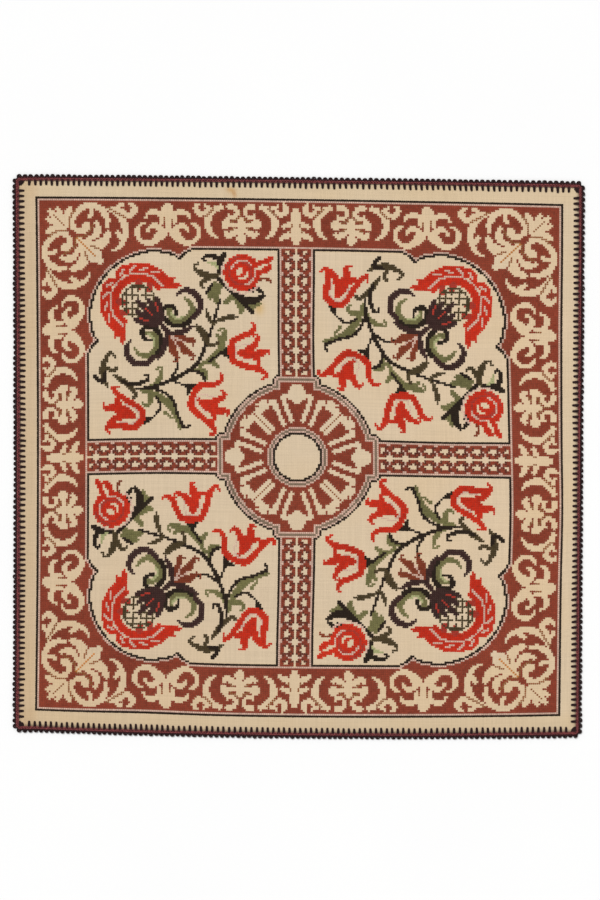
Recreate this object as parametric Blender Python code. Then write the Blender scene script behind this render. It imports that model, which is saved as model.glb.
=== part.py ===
"""Square embroidered tapestry cover with a crocheted edging, lying flat.

The object is a linen square worked in wool, laid on a level surface.  It has
five solids:

    cloth           the sheet, with its hem inside it.  The embroidered
                    border, the cross of two bands and the medallion stand a
                    little higher than the bare linen.
    edging_top      the crocheted edging, one run for each side, mitred at the
    edging_right    corners.  A run is a braided ridge against the cloth's
    edging_bottom   edge, a row of picots on its outside, and a row of long
    edging_left     stitches on its inside that reach over the linen.

Frame: metres, +Z up, +Y towards the top of the design, +X to its right.
The origin is the centre of the underside.  The sheet is first laid out on a
regular grid of stitches and then drawn out of true by the small amounts in
PULL, as a hand-worked cloth is.
"""

import math

import bmesh
import bpy

MM = 0.001
FLAT_ANGLE = 0.0005    # radians, two faces nearer than this are one

# ------------------------------------------------------------ driving sizes

STITCH_X = 3.16        # mm, one cross stitch across
STITCH_Y = 3.085       # mm, one cross stitch down
FRAME = 266            # stitches between the outer lines of the border
MID = FRAME / 2
BORDER = 26            # stitches, outer line to inner line of the border
BAND_HALF = 9          # stitches, middle of a band to its outer line
MEDAL_R = 39.5         # stitches, middle of the medallion to its rim
COLLAR = 41.5          # stitches, middle to the squared end of a band
COLLAR_HALF = 11.75    # stitches, half the width of that end
NOTCH = 63             # stitches, outer line to the middle of a panel's notch
NOTCH_R = 36           # stitches, radius of the notch
ARC_STEPS = 16         # straight steps along each arc of a panel's outline

MARGIN = 37.2          # mm, outer line of the border to the picot tips
PICOT = 3.2            # mm, picot height beyond the ridge
RIDGE = 5.6            # mm, ridge width
TOOTH = 8.0            # mm, length of the stitches over the linen
TOOTH_SHARE = 0.40     # of the pitch
PICOT_TIP = (0.27, 0.73)   # of the pitch, where a picot's flat tip lies
CORNER_R = 9.0         # mm, rounding of the outer corners
SIDE_STEPS = 24        # straight steps along each side of the cloth
KNOT_STEP = 4          # stitch roots to each step of the edging's underside

GAP = 0.3              # mm, between solids
LINEN_T = 1.6          # mm, linen with its hem pressed flat
WORKED_T = 2.2         # mm, linen with wool stitches on it
RIDGE_T = 3.4          # mm, crocheted ridge and its long stitches

# Picots along each side.
PICOTS = {"top": 102, "right": 100, "bottom": 104, "left": 104}

# How far each crossing of the layout is pulled out of true, in mm (x, y).
# Columns: left edge, left line, middle, right line, right edge.
# Rows: top edge, top line, middle, bottom line, bottom edge.
PULL = (
    ((0.4, 5.1), (1.6, 5.2), (-4.5, 0.8), (1.9, -5.3), (1.5, -6.0)),
    ((0.4, 5.2), (1.6, 5.4), (-4.5, 2.1), (1.9, -6.7), (1.2, -7.2)),
    ((2.0, 0.5), (4.0, 0.5), (-1.4, 1.6), (0.9, -6.1), (-1.5, -6.5)),
    ((0.8, 7.0), (1.1, 7.0), (-6.7, -3.7), (-2.6, -1.3), (-3.8, -1.2)),
    ((0.7, 7.6), (1.3, 7.4), (-6.7, -2.6), (-2.6, -1.8), (-3.6, -1.6)),
)

# Cusp between a panel's straight side and its rounded notch, in stitches: along
# the border and in from its outer line.
CUSP = (
    ("along", "in"),
    (82.0, 26.0),
    (79.6, 26.4),
    (77.4, 27.6),
    (75.4, 28.8),
    (73.4, 31.2),
    (71.6, 29.6),
    (69.0, 28.4),
)
NOTCH_START = 0.035    # radians past square where the notch's arc starts

MATERIALS = {
    # name: (base colour, roughness)
    "linen": ((0.66, 0.53, 0.38), 0.95),
    "edging_yarn": ((0.10, 0.030, 0.028), 0.9),
}

# ---------------------------------------------------------------- the layout

HALF_X = MID * STITCH_X
HALF_Y = MID * STITCH_Y
EDGE_X = HALF_X + MARGIN
EDGE_Y = HALF_Y + MARGIN


def three_point(t, a, b, c):
    """Value at t in -1..1 of the parabola through a, b and c."""
    return b + t * (c - a) / 2 + t * t * (a - 2 * b + c) / 2


def across(t, half, edge, values):
    """Value at t of a row of PULL, where t is mm from the middle."""
    outer_a, line_a, middle, line_b, outer_b = values
    if abs(t) <= half:
        return three_point(t / half, line_a, middle, line_b)
    share = (abs(t) - half) / (edge - half)
    if t < 0:
        return line_a + share * (outer_a - line_a)
    return line_b + share * (outer_b - line_b)


def pulled(x, y):
    """The true place, in mm, of a point of the regular layout."""
    out = []
    for axis in (0, 1):
        rows = []
        for row in PULL:
            values = [cell[axis] for cell in row]
            rows.append(across(x, HALF_X, EDGE_X, values))
        out.append(across(-y, HALF_Y, EDGE_Y, rows))
    return x + out[0], y + out[1]


def at_stitch(u, v):
    """Layout place of a stitch counted right and down from the middle."""
    return u * STITCH_X, -v * STITCH_Y


# ------------------------------------------------------------- mesh helpers


def start_over():
    for obj in list(bpy.data.objects):
        bpy.data.objects.remove(obj, do_unlink=True)
    for mesh in list(bpy.data.meshes):
        bpy.data.meshes.remove(mesh)


def make_material(name):
    colour, rough = MATERIALS[name]
    mat = bpy.data.materials.new(name)
    mat.use_nodes = True
    shader = mat.node_tree.nodes["Principled BSDF"]
    shader.inputs["Base Color"].default_value = (*colour, 1.0)
    shader.inputs["Roughness"].default_value = rough
    return mat


def make_object(name, points, faces, material):
    """An object from mm points that are already in their true place."""
    mesh = bpy.data.meshes.new(name)
    mesh.from_pydata([(x * MM, y * MM, z * MM) for x, y, z in points], [], faces)
    mesh.materials.append(material)
    bm = bmesh.new()
    bm.from_mesh(mesh)
    bmesh.ops.triangulate(bm, faces=bm.faces[:])
    bmesh.ops.recalc_face_normals(bm, faces=bm.faces[:])
    bm.to_mesh(mesh)
    bm.free()
    obj = bpy.data.objects.new(name, mesh)
    bpy.context.scene.collection.objects.link(obj)
    return obj


def strip(first, second, place):
    """Triangles between two runs of point numbers, stepped along together."""
    faces = []
    i = 0
    j = 0
    while i < len(first) - 1 or j < len(second) - 1:
        take_first = j == len(second) - 1
        if not take_first and i < len(first) - 1:
            take_first = place[first[i + 1]] <= place[second[j + 1]]
        if take_first:
            faces.append((first[i], first[i + 1], second[j]))
            i += 1
        else:
            faces.append((first[i], second[j + 1], second[j]))
            j += 1
    return faces


# ----------------------------------------------------------------- the cloth


def ring_prism(outer, holes, low, high):
    """Points and faces of a prism whose plan is a loop with holes."""
    bm = bmesh.new()
    edges = []
    for loop in [outer] + holes:
        verts = [bm.verts.new((x, y, low)) for x, y in loop]
        for k, vert in enumerate(verts):
            edges.append(bm.edges.new((vert, verts[(k + 1) % len(verts)])))
    bmesh.ops.triangle_fill(bm, use_beauty=True, edges=edges)
    grown = bmesh.ops.extrude_face_region(bm, geom=bm.faces[:])
    for item in grown["geom"]:
        if isinstance(item, bmesh.types.BMVert):
            item.co.z = high
    bmesh.ops.recalc_face_normals(bm, faces=bm.faces[:])
    bm.verts.index_update()
    points = [tuple(v.co) for v in bm.verts]
    faces = [tuple(v.index for v in f.verts) for f in bm.faces]
    bm.free()
    return points, faces


def stations(half, line):
    """Places along a side, from -half up to half, with one at each line."""
    places = [-line + 2 * line * k / SIDE_STEPS for k in range(SIDE_STEPS)]
    if half > line:
        places.insert(0, -half)
        places.append(line)
    return places


def square_loop(half_x, half_y):
    xs = stations(half_x, HALF_X)
    ys = stations(half_y, HALF_Y)
    loop = [(x, half_y) for x in xs]
    loop += [(half_x, -y) for y in ys]
    loop += [(-x, -half_y) for x in xs]
    loop += [(-half_x, y) for y in ys]
    return [pulled(x, y) for x, y in loop]


def arc(centre, radius, start):
    """Arc about a point of the diagonal, from start to as far short of square."""
    points = []
    for k in range(ARC_STEPS + 1):
        angle = start + (math.pi / 2 - 2 * start) * k / ARC_STEPS
        points.append((centre + radius * math.cos(angle), centre + radius * math.sin(angle)))
    return points


def panel_loop(sign_x, sign_y):
    """Outline of one bare linen panel, in true mm, worked out from the middle."""
    inner = MID - BORDER
    cusp = [(MID - inward, MID - along) for along, inward in CUSP[1:]]
    # Along the level band to the border, and over the cusp to the notch.
    side = [(COLLAR, COLLAR_HALF), (COLLAR, BAND_HALF), (inner, BAND_HALF)] + cusp
    loop = list(side)
    loop += arc(MID - NOTCH, NOTCH_R, NOTCH_START)
    loop += [(v, u) for u, v in reversed(side)]
    # Back along the medallion's rim.
    loop += reversed(arc(0.0, MEDAL_R, math.asin(COLLAR_HALF / MEDAL_R)))
    placed = []
    for u, v in loop:
        x, y = at_stitch(sign_x * u, sign_y * v)
        placed.append(pulled(x, y))
    return placed


def make_cloth(material):
    half_x = EDGE_X - PICOT - RIDGE - GAP
    half_y = EDGE_Y - PICOT - RIDGE - GAP
    points, faces = ring_prism(square_loop(half_x, half_y), [], 0.0, LINEN_T)
    cloth = make_object("cloth", points, faces, material)
    frame = square_loop(HALF_X, HALF_Y)
    panels = [panel_loop(sx, sy) for sx in (-1, 1) for sy in (-1, 1)]
    points, faces = ring_prism(frame, panels, LINEN_T / 2, WORKED_T)
    worked = make_object("worked", points, faces, material)
    join = cloth.modifiers.new("stitching", "BOOLEAN")
    join.operation = "UNION"
    join.solver = "EXACT"
    join.object = worked
    graph = bpy.context.evaluated_depsgraph_get()
    mesh = bpy.data.meshes.new_from_object(cloth.evaluated_get(graph))
    cloth.modifiers.clear()
    old = cloth.data
    cloth.data = mesh
    bpy.data.meshes.remove(old)
    mesh.name = "cloth"
    bpy.data.objects.remove(worked, do_unlink=True)
    bm = bmesh.new()
    bm.from_mesh(mesh)
    bmesh.ops.dissolve_limit(bm, angle_limit=FLAT_ANGLE, verts=bm.verts, edges=bm.edges)
    bmesh.ops.triangulate(bm, faces=bm.faces[:])
    bm.to_mesh(mesh)
    bm.free()
    return cloth


# ---------------------------------------------------------------- the edging

# For each side: the direction of its run, and the outward direction.
SIDES = {
    "top": ((1, 0), (0, 1)),
    "right": ((0, -1), (1, 0)),
    "bottom": ((-1, 0), (0, -1)),
    "left": ((0, 1), (-1, 0)),
}


def rounded_in(s, half):
    """How far the outer outline draws in near the end of a side."""
    past = abs(s) - (half - CORNER_R)
    if past <= 0:
        return 0.0
    past = min(past, CORNER_R)
    return CORNER_R - math.sqrt(max(CORNER_R ** 2 - past ** 2, 0.0))


def edging_run(side):
    """Points and faces of one side's edging, in true mm."""
    run, out = SIDES[side]
    half, reach = (EDGE_X, EDGE_Y) if out[1] else (EDGE_Y, EDGE_X)
    count = PICOTS[side]
    pitch = 2 * half / count
    inner = reach - PICOT - RIDGE
    back = GAP / 2 * math.sqrt(2)
    corner = half - PICOT - RIDGE
    diag = CORNER_R * (1 - math.sqrt(0.5))
    points = []
    place = []

    def add(s, t, z):
        x, y = pulled(run[0] * s + out[0] * t, run[1] * s + out[1] * t)
        points.append((x, y, z))
        place.append(s)
        return len(points) - 1

    # Outer outline: a mitre point, then a valley and two tip points for each
    # picot, then the far mitre point.
    outer = [(-half + diag + back, reach - diag)]
    for k in range(1, count):
        s = -half + k * pitch
        if k > 1:
            outer.append((s, reach - PICOT - rounded_in(s, half)))
        if k < count - 1:
            for share in PICOT_TIP:
                tip = s + share * pitch
                outer.append((tip, reach - rounded_in(tip, half)))
    outer.append((half - diag - back, reach - diag))
    # Roots of the long stitches on the inner outline.
    roots = []
    for k in range(count):
        s = -half + (k + 0.5) * pitch
        if abs(s) < corner - TOOTH - pitch / 2:
            wide = TOOTH_SHARE * pitch / 2
            roots.append((s - wide, s + wide))
    first = (-corner + back, inner)
    last = (corner - back, inner)

    under = LINEN_T + GAP
    outer_low = [add(s, t, 0.0) for s, t in outer]
    outer_top = [add(s, t, RIDGE_T) for s, t in outer]
    knots = [first] + [(s, inner) for pair in roots for s in pair] + [last]
    inner_top = [add(s, t, RIDGE_T) for s, t in knots]
    inner_mid = [inner_top[0]]
    inner_mid += [add(s, t, under) for s, t in knots[1:-1]]
    inner_mid.append(inner_top[-1])
    coarse = knots[0::KNOT_STEP]
    if coarse[-1] != knots[-1]:
        coarse.append(knots[-1])
    inner_low = [add(s, t, 0.0) for s, t in coarse]

    faces = strip(outer_top, inner_top, place)
    faces += strip(outer_low, inner_low, place)
    faces += strip(inner_mid, inner_low, place)
    for k in range(len(outer) - 1):
        faces.append((outer_low[k], outer_low[k + 1], outer_top[k + 1], outer_top[k]))
    # End walls, on the mitres.
    faces.append((outer_low[0], outer_top[0], inner_top[0], inner_low[0]))
    faces.append((outer_low[-1], outer_top[-1], inner_top[-1], inner_low[-1]))
    # The inner wall above the linen, open only at each long stitch.
    faces.append((inner_top[0], inner_top[1], inner_mid[1]))
    faces.append((inner_top[-1], inner_top[-2], inner_mid[-2]))
    for k in range(2, len(knots) - 2, 2):
        quad = (inner_top[k], inner_top[k + 1], inner_mid[k + 1], inner_mid[k])
        faces.append(quad)
    # The long stitches.
    for k in range(1, len(knots) - 1, 2):
        s_a = knots[k][0]
        s_b = knots[k + 1][0]
        tip = inner - TOOTH
        top_a = add(s_a, tip, RIDGE_T)
        top_b = add(s_b, tip, RIDGE_T)
        low_a = add(s_a, tip, under)
        low_b = add(s_b, tip, under)
        faces.append((inner_top[k], inner_top[k + 1], top_b, top_a))
        faces.append((inner_mid[k], inner_mid[k + 1], low_b, low_a))
        faces.append((inner_top[k], top_a, low_a, inner_mid[k]))
        faces.append((inner_top[k + 1], top_b, low_b, inner_mid[k + 1]))
        faces.append((top_a, top_b, low_b, low_a))
    return points, faces


def centre_on_origin(objects):
    """Shift every solid so that the underside's centre is the origin."""
    xs = [v.co.x for obj in objects for v in obj.data.vertices]
    ys = [v.co.y for obj in objects for v in obj.data.vertices]
    shift_x = (min(xs) + max(xs)) / 2
    shift_y = (min(ys) + max(ys)) / 2
    for obj in objects:
        for vert in obj.data.vertices:
            vert.co.x -= shift_x
            vert.co.y -= shift_y


def main():
    start_over()
    linen = make_material("linen")
    yarn = make_material("edging_yarn")
    objects = [make_cloth(linen)]
    for side in ("top", "right", "bottom", "left"):
        points, faces = edging_run(side)
        objects.append(make_object("edging_" + side, points, faces, yarn))
    centre_on_origin(objects)


main()
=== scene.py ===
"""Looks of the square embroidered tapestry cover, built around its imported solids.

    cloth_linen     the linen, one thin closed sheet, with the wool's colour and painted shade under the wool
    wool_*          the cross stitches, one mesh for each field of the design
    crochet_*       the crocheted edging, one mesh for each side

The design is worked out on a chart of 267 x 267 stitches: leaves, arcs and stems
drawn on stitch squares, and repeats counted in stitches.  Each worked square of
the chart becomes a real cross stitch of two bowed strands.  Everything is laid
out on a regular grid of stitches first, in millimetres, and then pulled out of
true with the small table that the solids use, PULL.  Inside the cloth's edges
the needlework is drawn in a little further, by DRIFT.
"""

import math

import bpy
import numpy as np
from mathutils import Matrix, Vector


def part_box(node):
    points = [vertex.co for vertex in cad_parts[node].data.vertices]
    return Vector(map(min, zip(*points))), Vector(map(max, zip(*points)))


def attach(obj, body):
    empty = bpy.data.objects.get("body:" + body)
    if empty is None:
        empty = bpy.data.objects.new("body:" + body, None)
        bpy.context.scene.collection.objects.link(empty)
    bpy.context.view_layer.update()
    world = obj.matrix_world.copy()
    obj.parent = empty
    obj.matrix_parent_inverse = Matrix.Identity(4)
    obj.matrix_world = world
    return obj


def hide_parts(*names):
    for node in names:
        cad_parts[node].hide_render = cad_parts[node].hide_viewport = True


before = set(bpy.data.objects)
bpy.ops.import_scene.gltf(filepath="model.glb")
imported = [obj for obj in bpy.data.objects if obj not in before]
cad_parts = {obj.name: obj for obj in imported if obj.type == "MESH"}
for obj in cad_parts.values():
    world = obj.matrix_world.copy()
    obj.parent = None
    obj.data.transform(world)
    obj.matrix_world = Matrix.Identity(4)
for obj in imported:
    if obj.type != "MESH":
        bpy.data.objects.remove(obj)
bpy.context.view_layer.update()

MM = 0.001
SEED = 20

# --- layout, as the solids ---

STITCH_X = 3.16  # mm, one cross stitch across
STITCH_Y = 3.085  # mm, one cross stitch down
SIDE = 267  # stitches from outer line to outer line, both counted
MID = SIDE // 2
MARGIN = 37.2  # mm, outer line of the border to the picot tips
PICOT = 3.2  # mm, picot height beyond the ridge
RIDGE = 5.6  # mm, ridge width
CORNER_R = 12.5  # mm, rounding of the outer corners
GAP = 0.3  # mm, cloth to edging
LINEN_T = 1.6  # mm
PICOTS = {"top": 102, "right": 100, "bottom": 104, "left": 104}
PULL = (  # mm across and up, from the top left crossing to the bottom right one
    ((0.4, 5.1), (1.6, 5.2), (-4.5, 0.8), (1.9, -5.3), (1.5, -6.0)),
    ((0.4, 5.2), (1.6, 5.4), (-4.5, 2.1), (1.9, -6.7), (1.2, -7.2)),
    ((2.0, 0.5), (4.0, 0.5), (-1.4, 1.6), (0.9, -6.1), (-1.5, -6.5)),
    ((0.8, 7.0), (1.1, 7.0), (-6.7, -3.7), (-2.6, -1.3), (-3.8, -1.2)),
    ((0.7, 7.6), (1.3, 7.4), (-6.7, -2.6), (-2.6, -1.8), (-3.6, -1.6)),
)
DRIFT = (  # across and up of a place, its reach, its pull, all in mm
    (225, 170, 95, -5.0, -4.2),
    (395, -230, 90, 0.0, -4.0),
    (-220, -110, 60, 0.5, 4.2),
    (210, 390, 90, 3.6, 0.0),
    (-240, -345, 60, -3.4, 3.0),
    (105, -280, 55, -3.6, 0.0),
    (-365, 255, 60, 0.0, 2.5),
    (-400, 55, 50, 0.0, -2.4),
    (-130, -10, 60, 2.2, 0.0),
    (375, -80, 60, 2.5, 0.0),
    (307, 224, 60, -2.8, 0.0),
    (30, 190, 60, -1.8, 0.0),
    (-95, -300, 45, -2.2, 0.0),
    (240, 90, 45, 0.0, -2.2),
    (0, 0, 350, 0.0, -1.4),
)
EDGE_POINTS = 97  # on each edge of the cloth, to find its box
HALF_X = MID * STITCH_X
HALF_Y = MID * STITCH_Y
EDGE_X = HALF_X + MARGIN
EDGE_Y = HALF_Y + MARGIN
CLOTH_X = EDGE_X - PICOT - RIDGE - GAP
CLOTH_Y = EDGE_Y - PICOT - RIDGE - GAP


def three_point(t, a, b, c):
    """Value at t in -1..1 of the parabola through a, b and c."""
    return b + t * (c - a) / 2 + t * t * (a - 2 * b + c) / 2


def across(t, half, edge, values):
    """Value at t of a row of PULL, where t is mm from the middle."""
    outer_a, line_a, middle, line_b, outer_b = values
    share = (np.abs(t) - half) / (edge - half)
    below = line_a + share * (outer_a - line_a)
    above = line_b + share * (outer_b - line_b)
    inside = three_point(t / half, line_a, middle, line_b)
    return np.where(np.abs(t) <= half, inside, np.where(t < 0, below, above))


def pulled(x, y):
    """True places, in mm from the layout's middle, of points of the layout."""
    moved = []
    for axis in (0, 1):
        rows = [across(x, HALF_X, EDGE_X, [cell[axis] for cell in row]) for row in PULL]
        moved.append(across(-y, HALF_Y, EDGE_Y, rows))
    # Within the cloth the needlework draws it in further; its edges stay put.
    inside = np.minimum(CLOTH_X - np.abs(x), CLOTH_Y - np.abs(y))
    slack = np.clip(inside / (CLOTH_X - HALF_X), 0, 1)
    for drift_x, drift_y, reach, push_x, push_y in DRIFT:
        away = (x - drift_x) ** 2 + (y - drift_y) ** 2
        near = slack * np.exp(-away / (2 * reach ** 2))
        moved = [moved[0] + push_x * near, moved[1] + push_y * near]
    return x + moved[0], y + moved[1]


def find_shift():
    """From the layout's middle to the frame's origin, by the cloth's own box."""
    run = np.linspace(-1, 1, EDGE_POINTS)
    one = np.ones_like(run)
    xs = np.concatenate([run, run, one, -one]) * CLOTH_X
    ys = np.concatenate([one, -one, run, run]) * CLOTH_Y
    px, py = pulled(xs, ys)
    low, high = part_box("cloth")
    middle = ((low.x + high.x) / 2 / MM, (low.y + high.y) / 2 / MM)
    return [at - (p.min() + p.max()) / 2 for at, p in zip(middle, (px, py))]


SHIFT_X, SHIFT_Y = find_shift()


def placed(x, y, z):
    """Frame points, in metres, of layout points in mm."""
    px, py = pulled(np.asarray(x, float), np.asarray(y, float))
    return np.stack([px + SHIFT_X, py + SHIFT_Y, np.broadcast_to(z, px.shape)], -1) * MM


# --- chart drawing ---

YARN_LEVELS = {  # red, green and blue that an eye would match, 0 to 255
    "linen": (208, 187, 158),
    "ink": (37, 27, 18),
    "blush": (208, 174, 156),
    "brick": (129, 56, 38),
    "umber": (132, 74, 38),
    "ochre": (182, 116, 58),
    "scarlet": (183, 40, 18),
    "crimson": (158, 50, 38),
    "moss": (106, 102, 63),
    "lichen": (158, 158, 112),
    "forest": (66, 54, 32),
    "damson": (54, 33, 30),
    "rust": (118, 52, 30),
    "slate": (120, 102, 84),
    "cocoa": (92, 44, 32),
}
CODE = {name: k for k, name in enumerate(YARN_LEVELS)}
THIN = 0.5  # stitches, a line that is one stitch square wide
LINE = (THIN, THIN)  # widths of an arc as thin
CURVE_STEPS = 16  # points on each span of a stroke
RING_STEPS = 9  # points that an arc's stroke passes through
LEAF_STEPS = (0, 0.2, 0.4, 0.6, 0.8, 1)
SWELL_FROM, SWELL_RUN = 0.08, 0.8  # part of a half wave that a leaf's width follows
HOOK = ((60, 1.4), (120, 1.2))  # degrees and width at each step of a hooked tip
NUDGE = 1e-6  # stitches, keeps the squares' middles off a shape's corners


def smooth(path):
    """Points of a curve that passes through every row of the path."""
    rows = np.array(path, float)
    rows = np.concatenate([rows[:1], rows, rows[-1:]])
    t = np.arange(CURVE_STEPS)[:, None] / CURVE_STEPS
    spans = []
    for a, b, c, d in zip(rows, rows[1:], rows[2:], rows[3:]):
        bend = (2 * a - 5 * b + 4 * c - d) * t ** 2 + (3 * b - a - 3 * c + d) * t ** 3
        spans.append((2 * b + (c - a) * t + bend) / 2)
    return np.concatenate(spans + [rows[-1:]])


def stroke(chart, yarn, path):
    """A curved stroke; path rows are across, down and width, in stitches."""
    curve = smooth(path)
    reach = math.ceil(curve[:, 2].max() / 2)
    spots = np.rint(curve[:, :2]).astype(int)
    for down in range(-reach, reach + 1):
        for right in range(-reach, reach + 1):
            squares = spots + (right, down)
            near = np.hypot(*(squares - curve[:, :2]).T) <= curve[:, 2] / 2
            near |= (right == 0) & (down == 0)
            near &= ((squares >= 0) & (squares < chart.shape[0])).all(1)
            chart[squares[near, 1], squares[near, 0]] = CODE[yarn]


def within(loop, u, v):
    """True where u, v lie inside the closed loop."""
    hit = np.zeros(u.shape, bool)
    for (x0, y0), (x1, y1) in zip(loop, np.roll(loop, -1, axis=0)):
        if y0 != y1:
            level = (y0 > v) != (y1 > v)
            hit ^= level & (u < (x1 - x0) * (v - y0) / (y1 - y0) + x0)
    return hit


def patch(chart, yarn, loop):
    """A filled shape; loop rows are across and down."""
    v, u = np.indices(chart.shape)
    chart[within(np.array(loop, float), u, v + NUDGE)] = CODE[yarn]


def draw(chart, marks):
    """Strokes and patches in order: rows of three columns are strokes."""
    for yarn, rows in marks:
        shape = stroke if len(rows[0]) == 3 else patch
        shape(chart, yarn, rows)


def draw_mirrored(chart, marks, centre):
    """Marks given out from an upright line of symmetry, drawn on both sides."""
    for turn in (1, -1):
        for yarn, rows in marks:
            draw(chart, [(yarn, [(centre + turn * row[0], *row[1:]) for row in rows])])


def seen_from(at, heading, ahead, aside=0):
    """The place that lies ahead and to the right of at, facing heading."""
    turn = math.radians(heading)
    return (at[0] + ahead * math.cos(turn) - aside * math.sin(turn),
            at[1] + ahead * math.sin(turn) + aside * math.cos(turn))


def leaf(yarn, base, tip, bow, width, hook=0):
    """A bowed leaf; bow is how far to the right, and hook curls its tip."""
    length = math.dist(base, tip)
    heading = math.degrees(math.atan2(tip[1] - base[1], tip[0] - base[0]))
    rows = []
    for t in LEAF_STEPS:
        swell = 1 + (width - 1) * math.sin(math.pi * (SWELL_FROM + SWELL_RUN * t))
        rows.append((*seen_from(base, heading, length * t, 4 * bow * t * (1 - t)), swell))
    if hook:
        lean = heading - math.degrees(math.atan2(4 * bow, length))
        for turn, size in HOOK:
            step = seen_from(rows[-1][:2], lean + math.copysign(turn, hook), abs(hook))
            rows.append((*step, size))
    return yarn, rows


def stem(yarn, width, *places):
    return yarn, [(*place, width) for place in places]


def vein(yarn, *places):
    return stem(yarn, THIN, *places)


def ring(yarn, centre, radius, start, end, widths, shrink=0):
    """An arc from start to end degrees whose radius shrinks by a share."""
    rows = []
    for t in np.linspace(0, 1, RING_STEPS):
        size = np.interp(t, np.linspace(0, 1, len(widths)), widths)
        place = seen_from(centre, start + (end - start) * t, radius * (1 - shrink * t))
        rows.append((*place, size))
    return yarn, rows


def each(kind, yarn, *rows):
    """One mark of a kind for each row of its values."""
    return [kind(yarn, *row) for row in rows]


# --- border ornament ---

# Everything here is in stitches from the outer line's corner: across, down.
CORNER_SCROLLS = (
    *each(
        leaf, "linen",
        # the one that points to the outer corner
        ((15, 15), (7, 7), 0, 5), ((12.5, 11.5), (10.8, 5.6), 0.6, 3.2),
        ((16, 14.6), (18, 5.4), -1.2, 4),
        # acanthus leaves
        ((26.5, 21), (31, 12.8), 2.8, 3.8), ((26, 22.6), (37, 18), 3.8, 5),
        # the one that points to the panel
        ((22, 22), (32.8, 32.8), 0, 7.4), ((24, 23.6), (33, 29), -0.8, 3.4),
        # barb of the long arc, and what joins the arc to the hook
        ((44, 22), (41.6, 17.6), 0.4, 2.4), ((39, 5), (45, 7.6), 0, 2.8),
        ((42.5, 6), (44.6, 3.4), -1, 2.4),
    ),
    *each(
        ring, "linen",
        # great scroll, its curl and its barb
        ((28.5, 13.2), 10.2, 165, 372, (2.4, 2.6, 3.1, 3, 3.8, 1.2), 0.2),
        ((22.6, 13.6), 3.6, 170, 15, (2.4, 2.8, 4.2), 0.1),
        ((26.4, 7.6), 2.3, -50, 80, (1.6, 2.2, 1.4)),
        # long arc and the hook beyond it
        ((34.5, 17), 11.4, -75, 65, (1.4, 2.9, 3.6, 3.4, 2.4, 1.2)),
        ((47.6, 5.4), 3.6, 150, -80, (2.8, 3.2, 3.2, 1.4), 0.25),
    ),
    # veins and shading lines
    vein("umber", (9, 9), (14, 14)),
    vein("ochre", (21, 21), (30, 30)),
    *each(
        vein, "umber",
        ((37, 5), (42, 8), (46, 10)), ((20, 6), (17, 11), (17, 15)),
        ((21, 20), (26, 19), (29, 14)), ((28, 25), (32, 26)),
    ),
)
# Half of each motif that is mirrored about an upright line, from that line out.
LILY = (
    leaf("linen", (0, 11), (0, 4), 0, 6.6),
    stem("linen", 3.6, (0, 9), (0, 18)),
    leaf("linen", (1, 16), (5, 20.5), 0, 4.6),
    *each(
        ring, "linen",
        ((10.8, 17), 6.7, 165, -75, (4.3, 3.2, 2.1, 2.3, 2.2, 1.2), 0.35),
        ((7, 17.4), 3.3, 190, 355, (3.6, 2.8, 2.4, 1.2)),
        ((7.2, 11), 4.2, 165, 350, (2.6, 2.7, 2.4, 1.3)),
    ),
    vein("umber", (2, 10), (2, 12)),
    vein("brick", (0, 18), (0, 20)),
)
SHELL = (
    *each(
        ring, "linen",
        # great C with its inner curl, and the hook that links it to the next motif
        ((8.8, 12.6), 8.4, 62, -80, (1.2, 3, 3.5, 3.6, 2.8)),
        ((5, 7.2), 3.5, -70, -320, (2.6, 2.1, 2, 1.6), 0.4),
        ((20.2, 5), 2.7, -60, 150, (1.4, 2.8, 3.2, 2.8, 2.2)),
    ),
    # side lobe of the palmette
    stem("linen", 2.2, (1, 14), (6, 13.4)),
    stem("linen", 4.6, (7.6, 12.6), (8, 13.2)),
    *each(
        leaf, "linen",
        ((14, 5), (18.5, 3.4), 0.6, 2.2), ((8, 12), (6.8, 9.8), -0.6, 2),
        # lower lobe, heart and stalk
        ((1.4, 15.6), (7.4, 19), 0.6, 3.4, -1.2), ((0, 10), (0, 18.6), 0, 4.4),
        ((0, 18.6), (0, 21.8), 0, 5),
    ),
    *each(
        vein, "umber",
        ((1, 10), (5, 12)), ((3, 15), (5, 16)), ((18, 9), (14, 5)), ((0, 6), (0, 9)),
    ),
)
FINIAL = (
    *each(
        leaf, "linen",
        ((0, 5.4), (0, 12.6), 0, 5.4), ((0, 13), (0, 22.6), 0, 5),
        ((1, 15), (6.4, 14.4), -1.4, 2.8), ((1, 18), (8, 21), -0.9, 3.2),
    ),
    vein("umber", (2, 13), (2, 14)),
    vein("umber", (3, 16), (3, 17)),
)
LILY_AT = 67.8  # stitches from the corner to each motif's middle
SHELL_AT = 105.3

# --- medallion, bands ---

BORDER = 26  # outer line to the panels' straight sides
BAND = 9  # middle of a band to its outer line
NOTCH = 63  # corner to the middle of a panel's rounded notch
NOTCH_R = 36
NOTCH_TURN = (92, 135)  # degrees of the notch's arc, up to the diagonal
NOTCH_STEPS = 12
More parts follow.
